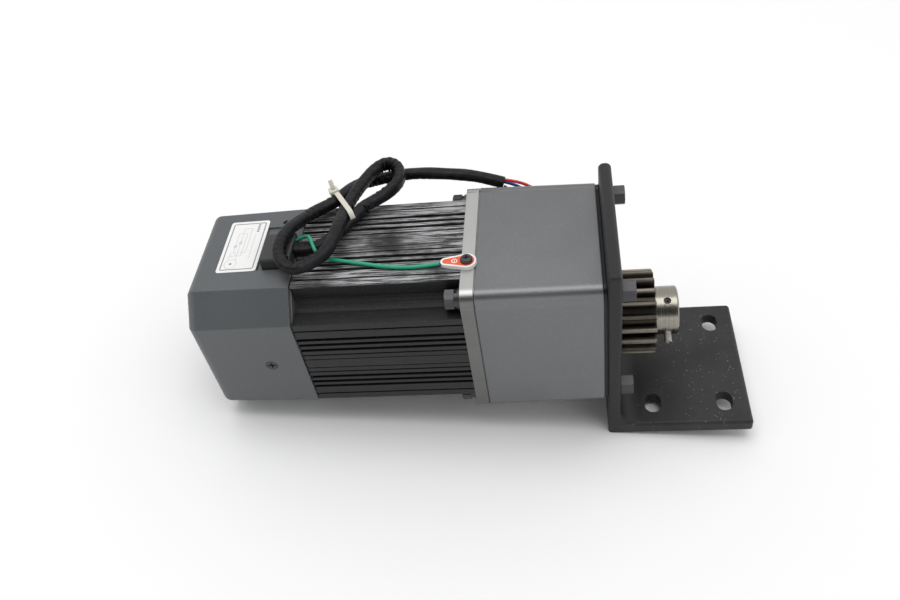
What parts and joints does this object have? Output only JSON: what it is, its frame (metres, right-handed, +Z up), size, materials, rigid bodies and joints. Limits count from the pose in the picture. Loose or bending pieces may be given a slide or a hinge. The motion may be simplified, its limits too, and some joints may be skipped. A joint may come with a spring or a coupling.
{
  "type": "sliding gate motor",
  "caption": "Square finned AC gear motor on an angle bracket with slotted foot, offset output shaft with rack pinion, fan cover, coiled supply cable and earth wire.",
  "frame": {"origin": "centre of the four foundation slots, on the underside of the bracket's foot", "axes": "+X along the motor axis from the fan towards the pinion, +Y across to the back, +Z up from the foundation"},
  "size_m": [0.2995, 0.11, 0.1322],
  "materials": {
    "bracket": "black painted hot-rolled angle steel",
    "gearcase": "grey satin paint on die-cast aluminium",
    "rear_plate": "machined aluminium",
    "bronze": "sintered bronze",
    "bearing_steel": "ground bearing steel",
    "seal_rubber": "black nitrile rubber",
    "ground_steel": "ground steel",
    "rotor_iron": "lamination steel with cast aluminium cage",
    "lamination": "lamination steel",
    "winding": "varnished copper wire",
    "fan_plastic": "black glass-filled nylon",
    "spring_steel": "spring steel",
    "gear_steel": "hobbed steel",
    "pinion_steel": "oiled cut steel, bright turned hub",
    "black_steel": "blackened steel",
    "flange": "grey die-cast aluminium",
    "black_frame": "black satin painted aluminium extrusion",
    "cover": "dark grey satin powder paint",
    "zinc": "zinc-plated steel",
    "bolt_steel": "dark phosphated steel",
    "outlet_rubber": "black moulded rubber",
    "sleeve": "black soft PVC sleeve",
    "tie_nylon": "natural nylon",
    "red_pvc": "red PVC insulation",
    "blue_pvc": "blue PVC insulation",
    "black_pvc": "black PVC insulation",
    "green_pvc": "green PVC insulation",
    "tag_plastic": "orange-red plastic"
  },
  "bodies": {
    "housing": {"mounting_bracket": "bracket", "gearbox_case": "gearcase", "gearbox_rear_plate": "rear_plate", "gear_shaft_bushes": "bronze", "output_bearing": "bearing_steel", "front_bearing": "bearing_steel", "rear_bearing": "bearing_steel", "output_seal": "seal_rubber", "motor_seal": "seal_rubber", "stator_core": "lamination", "stator_windings": "winding", "motor_flange": "flange", "rear_end_bell": "rear_plate", "stator_frame": "black_frame", "fan_cover": "cover", "end_bell_screws": "zinc", "flange_screws": "zinc", "cover_screws": "black_steel", "through_bolts": "bolt_steel", "bracket_nuts": "bolt_steel", "spring_washers": "zinc", "plain_washers": "zinc", "cable_outlet": "outlet_rubber", "cable_exit": "sleeve", "cable_hank": "sleeve", "cable_tail": "sleeve", "cable_tie": "tie_nylon", "red_lead": "red_pvc", "blue_lead": "blue_pvc", "black_lead": "black_pvc", "earth_wire": "green_pvc", "earth_tag": "tag_plastic", "earth_screw": "black_steel"},
    "rotor": {"motor_shaft": "ground_steel", "rotor_core": "rotor_iron", "cooling_fan": "fan_plastic", "fan_ring": "spring_steel"},
    "first_idler": {"first_wheel": "gear_steel", "first_idler_shaft": "ground_steel"},
    "second_idler": {"second_wheel": "gear_steel", "second_idler_shaft": "ground_steel"},
    "output": {"output_gear": "gear_steel", "output_shaft": "ground_steel", "output_keys": "ground_steel", "rack_pinion": "pinion_steel", "set_screws": "black_steel"}
  },
  "joints": [
    {"name": "rotor_spin", "type": "hinge", "parent": "housing", "child": "rotor", "pos_m": [-0.16, 0, 0.071], "axis": [1, 0, 0], "continuous": true},
    {"name": "first_idler_spin", "type": "hinge", "parent": "housing", "child": "first_idler", "pos_m": [-0.09, 0.01478, 0.08991], "axis": [1, 0, 0], "continuous": true},
    {"name": "second_idler_spin", "type": "hinge", "parent": "housing", "child": "second_idler", "pos_m": [-0.09, -0.01165, 0.0786], "axis": [1, 0, 0], "continuous": true},
    {"name": "output_spin", "type": "hinge", "parent": "housing", "child": "output", "pos_m": [-0.05, 0, 0.053], "axis": [1, 0, 0], "continuous": true}
  ],
  "couplings": [
    {"joint": "first_idler_spin", "follows": "rotor_spin", "ratio": -0.33333},
    {"joint": "second_idler_spin", "follows": "rotor_spin", "ratio": 0.11765},
    {"joint": "output_spin", "follows": "rotor_spin", "ratio": -0.058824}
  ]
}
